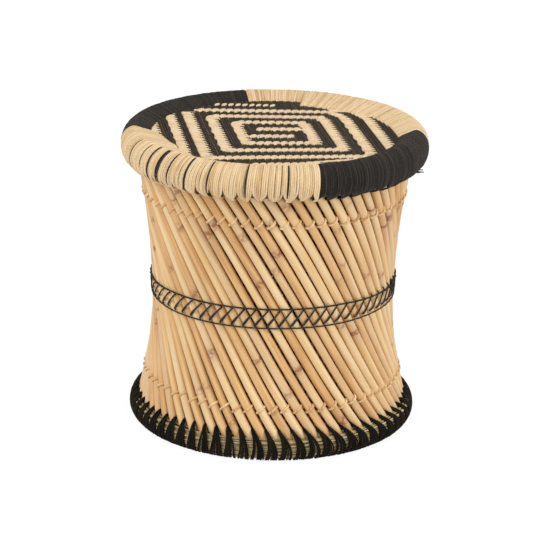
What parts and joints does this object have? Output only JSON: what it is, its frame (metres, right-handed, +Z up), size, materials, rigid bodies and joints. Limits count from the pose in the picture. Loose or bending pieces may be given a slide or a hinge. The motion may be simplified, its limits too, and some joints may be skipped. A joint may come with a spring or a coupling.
{
  "type": "mudda stool",
  "caption": "Round reed stool drawn in at the waist, with two crossing layers of reeds, a cord-wound rim, a woven rope seat, a laced waist and a lashed base ring.",
  "frame": {"origin": "centre of the bounding box's underside: on the floor, under the middle of the seat", "axes": "+Z up along the stool's own axis; -Y is the side that the picture shows"},
  "size_m": [0.4204, 0.4204, 0.4162],
  "materials": {
    "outer_reed": "dry smooth reed with darker nodes",
    "inner_reed": "dry reed, duller than the outer layer",
    "natural_cord": "twisted natural fibre cord",
    "black_cord": "twisted black cord",
    "twine": "thin natural twine",
    "seat_rope": "woven rope in natural and black",
    "grass": "dry pale grass stalks",
    "padding": "grass and cane bundle under the winding"
  },
  "bodies": {
    "root": {"outer_reeds_01": "outer_reed", "outer_reeds_02": "outer_reed", "outer_reeds_03": "outer_reed", "outer_reeds_04": "outer_reed", "outer_reeds_05": "outer_reed", "outer_reeds_06": "outer_reed", "outer_reeds_07": "outer_reed", "outer_reeds_08": "outer_reed", "outer_reeds_09": "outer_reed", "outer_reeds_10": "outer_reed", "outer_reeds_11": "outer_reed", "inner_reeds_01": "inner_reed", "inner_reeds_02": "inner_reed", "inner_reeds_03": "inner_reed", "inner_reeds_04": "inner_reed", "inner_reeds_05": "inner_reed", "inner_reeds_06": "inner_reed", "inner_reeds_07": "inner_reed", "inner_reeds_08": "inner_reed", "inner_reeds_09": "inner_reed", "inner_reeds_10": "inner_reed", "inner_reeds_11": "inner_reed", "rim_hoop": "padding", "base_grass_bundle": "grass", "rim_wrap_front": "natural_cord", "rim_wrap_right": "black_cord", "rim_wrap_back": "natural_cord", "rim_wrap_left": "black_cord", "base_wrap_1": "black_cord", "base_wrap_2": "black_cord", "base_wrap_3": "black_cord", "seat_web": "seat_rope", "upper_twine": "twine", "lower_twine": "twine", "upper_waist_cord": "black_cord", "lower_waist_cord": "black_cord", "waist_lacing": "black_cord", "waist_knot": "black_cord"}
  },
  "joints": []
}
